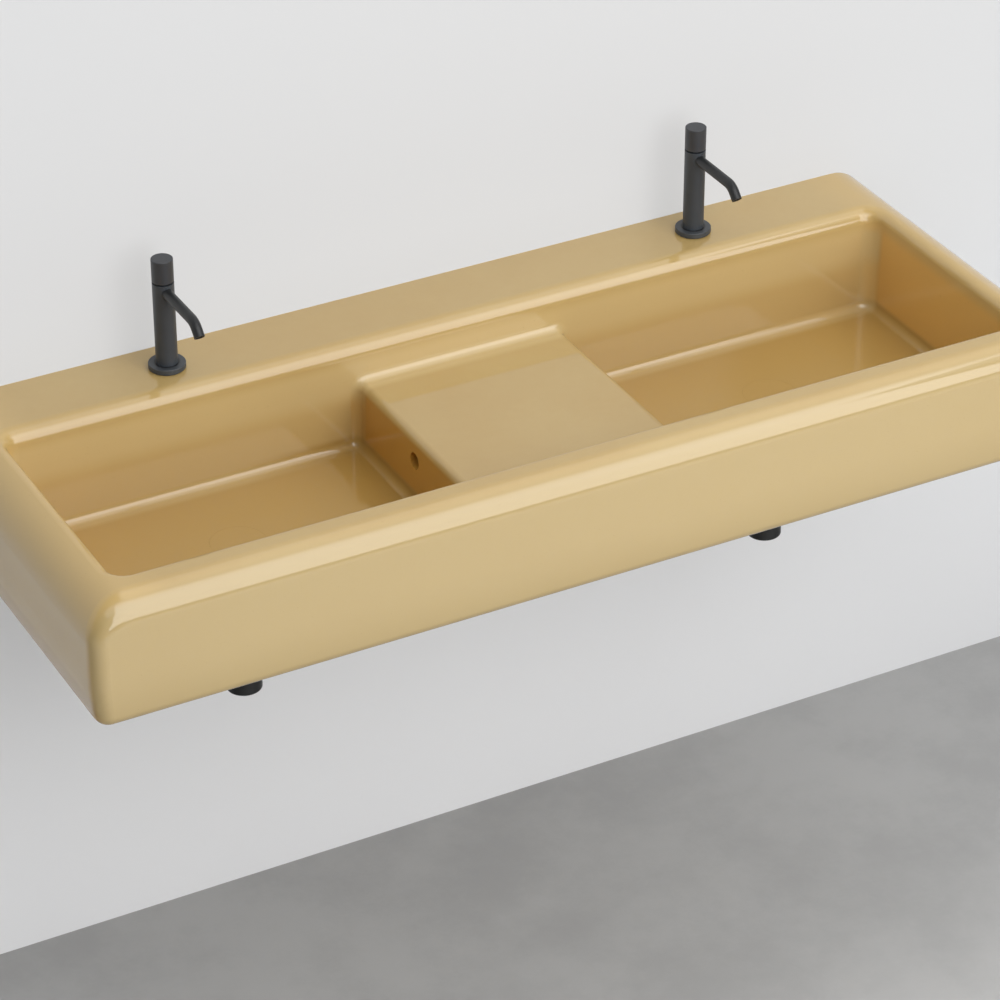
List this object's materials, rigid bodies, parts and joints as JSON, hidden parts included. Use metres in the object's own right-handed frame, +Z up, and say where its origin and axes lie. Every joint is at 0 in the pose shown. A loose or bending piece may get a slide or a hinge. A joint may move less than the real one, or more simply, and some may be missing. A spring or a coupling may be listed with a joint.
{
  "type": "double washbasin",
  "caption": "Wall-hung double washbasin in ochre glazed ceramic with a shelf between its bowls, slim black pillar taps with turning tops, flush wastes and bottle traps.",
  "frame": {"origin": "on the wall, in the middle of the line of wall bolts, 75 mm below the rim", "axes": "+X along the wall, to the right seen from the front; +Y into the wall; +Z up"},
  "size_m": [1.208, 0.5, 0.4545],
  "materials": {
    "glaze": "glossy ochre glaze",
    "black_metal": "satin black coating on brass",
    "black_trap": "satin black coating on brass",
    "black_plastic": "matt",
    "white_plastic": "matt",
    "brass": "turned",
    "steel": "zinc plated",
    "rubber": "matt",
    "white_ceramic": "ground"
  },
  "bodies": {
    "basin": {"basin_body": "glaze", "wall_fixing_bushes": "white_plastic", "tap_rubber_washers": "rubber", "tap_steel_washers": "steel", "waste_gaskets": "rubber", "trap_slip_nuts": "black_trap", "wall_rosettes": "black_trap", "left_tap_column": "black_metal", "left_tap_base_ring": "black_metal", "left_tap_gasket": "rubber", "left_tap_tail": "brass", "left_tap_backnut": "brass", "left_tap_spout": "black_metal", "left_spout_flow_straightener": "black_plastic", "left_valve_housing": "brass", "left_valve_fixed_disc": "white_ceramic", "left_valve_seals": "rubber", "left_waste_body": "brass", "left_waste_backnut": "brass", "left_waste_guide": "white_plastic", "left_trap_body": "black_trap", "left_trap_dip_tube": "black_plastic", "left_trap_cup": "black_trap", "left_trap_seals": "rubber", "left_trap_outlet_tube": "black_trap", "right_tap_column": "black_metal", "right_tap_base_ring": "black_metal", "right_tap_gasket": "rubber", "right_tap_tail": "brass", "right_tap_backnut": "brass", "right_tap_spout": "black_metal", "right_spout_flow_straightener": "black_plastic", "right_valve_housing": "brass", "right_valve_fixed_disc": "white_ceramic", "right_valve_seals": "rubber", "right_waste_body": "brass", "right_waste_backnut": "brass", "right_waste_guide": "white_plastic", "right_trap_body": "black_trap", "right_trap_dip_tube": "black_plastic", "right_trap_cup": "black_trap", "right_trap_seals": "rubber", "right_trap_outlet_tube": "black_trap"},
    "left_knob": {"left_tap_knob": "black_metal", "left_knob_grub_screw": "steel", "left_valve_spindle": "brass", "left_valve_turning_disc": "white_ceramic"},
    "left_plug": {"left_waste_plug": "glaze", "left_plug_seal": "rubber", "left_plug_plunger": "brass"},
    "right_knob": {"right_tap_knob": "black_metal", "right_knob_grub_screw": "steel", "right_valve_spindle": "brass", "right_valve_turning_disc": "white_ceramic"},
    "right_plug": {"right_waste_plug": "glaze", "right_plug_seal": "rubber", "right_plug_plunger": "brass"}
  },
  "joints": [
    {"name": "left_knob_turn", "type": "hinge", "parent": "basin", "child": "left_knob", "pos_m": [-0.336, -0.0488, 0.195], "axis": [0, 0, 1], "range_deg": [0, 90]},
    {"name": "left_plug_lift", "type": "slide", "parent": "basin", "child": "left_plug", "axis": [0, 0, 1], "range_m": [0, 0.008]},
    {"name": "right_knob_turn", "type": "hinge", "parent": "basin", "child": "right_knob", "pos_m": [0.336, -0.0488, 0.195], "axis": [0, 0, 1], "range_deg": [0, 90]},
    {"name": "right_plug_lift", "type": "slide", "parent": "basin", "child": "right_plug", "axis": [0, 0, 1], "range_m": [0, 0.008]}
  ]
}
